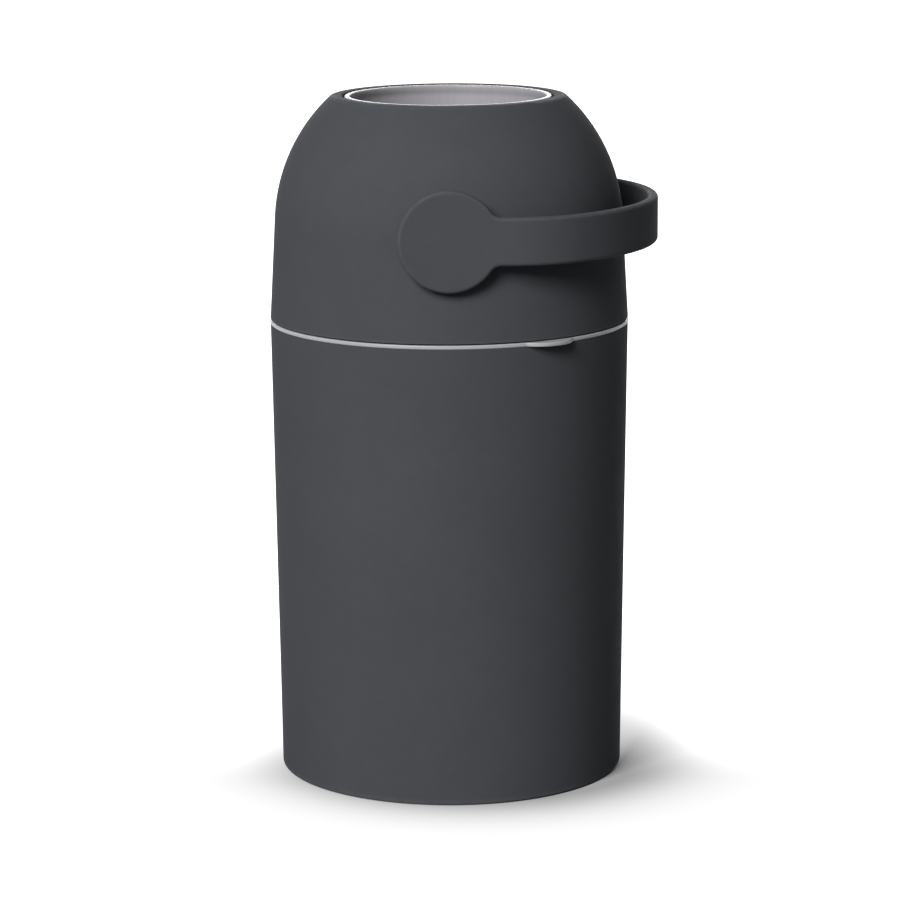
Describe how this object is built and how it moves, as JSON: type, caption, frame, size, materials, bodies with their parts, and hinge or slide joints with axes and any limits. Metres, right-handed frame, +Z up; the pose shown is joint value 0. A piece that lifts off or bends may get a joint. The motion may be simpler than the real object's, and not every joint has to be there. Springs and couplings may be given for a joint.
{
  "type": "nappy bin",
  "caption": "Round nappy bin whose domed lid holds a turning drum: the swing handle flips a cup over so that a weighted plunger pushes the nappy into the bag.",
  "frame": {"origin": "centre of the underside of the foot ring, on the floor", "axes": "+Z up the bin's axis, front towards -Y, the handle rests on the +X side and swings over to -X"},
  "size_m": [0.2817, 0.2756, 0.4946],
  "materials": {
    "charcoal_plastic": "fine matte moulded texture",
    "light_plastic": "satin moulded plastic, light grey",
    "black_plastic": "matte black",
    "soft_rubber": "matte soft rubber",
    "steel": "zinc-plated steel"
  },
  "bodies": {
    "tub": {"tub": "charcoal_plastic", "foot_ring": "soft_rubber"},
    "bag_ring": {"bag_ring": "light_plastic", "ring_seal": "soft_rubber"},
    "lid": {"lid_shell": "charcoal_plastic", "lid_liner": "black_plastic", "liner_screws": "steel", "upper_seal": "soft_rubber", "lower_seal": "soft_rubber", "bush_front": "light_plastic", "bush_back": "light_plastic", "hub_seals": "soft_rubber"},
    "drum": {"handle": "charcoal_plastic", "trunnion_front": "light_plastic", "trunnion_back": "light_plastic", "trunnion_screws": "steel", "drum_upper_half": "black_plastic", "drum_lower_half": "black_plastic", "sleeve_upper": "light_plastic", "sleeve_lower": "light_plastic"},
    "plunger": {"plunger_upper": "light_plastic", "plunger_lower": "light_plastic", "plunger_weight": "steel", "plunger_wipers": "soft_rubber"}
  },
  "joints": [
    {"name": "ring_lift", "type": "slide", "parent": "tub", "child": "bag_ring", "axis": [0, 0, 1], "range_m": [0, 0.05]},
    {"name": "lid_lift", "type": "slide", "parent": "bag_ring", "child": "lid", "axis": [0, 0, 1], "range_m": [0, 0.12]},
    {"name": "drum_turn", "type": "hinge", "parent": "lid", "child": "drum", "pos_m": [0, 0, 0.4064], "axis": [0, -1, 0], "range_deg": [0, 180]},
    {"name": "plunger_slide", "type": "slide", "parent": "drum", "child": "plunger", "axis": [0, 0, 1], "range_m": [0, 0.1287]}
  ]
}
